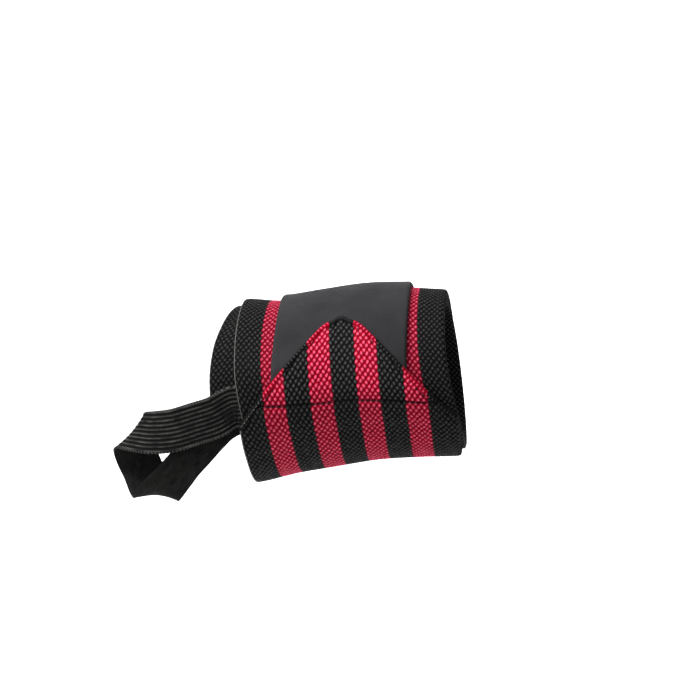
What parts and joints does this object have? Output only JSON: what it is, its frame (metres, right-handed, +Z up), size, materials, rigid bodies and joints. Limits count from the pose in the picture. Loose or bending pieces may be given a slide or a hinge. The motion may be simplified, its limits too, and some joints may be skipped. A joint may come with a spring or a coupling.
{
  "type": "wrist wrap",
  "caption": "Wide striped elastic wrist wrap, wound twice and closed by a hook flap under its folded point, with a narrow loop strap at one edge",
  "frame": {"origin": "on the axis of the hollow that the wrap is worn on, at the middle of the band's width", "axes": "X runs along the hollow, with the loop strap at -X; -Y is the front, where the band ends in its point; +Z is up"},
  "size_m": [0.1335, 0.0753, 0.078],
  "materials": {
    "woven_elastic": "coarse woven elastic, black with four red stripes",
    "hook_tape": "smooth dark grey hook tape with a fine pile",
    "strap_elastic": "near black elastic with fine ribs along its length"
  },
  "bodies": {
    "root": {"elastic_band": "woven_elastic", "hook_flap": "hook_tape", "loop_strap": "strap_elastic"}
  },
  "joints": []
}
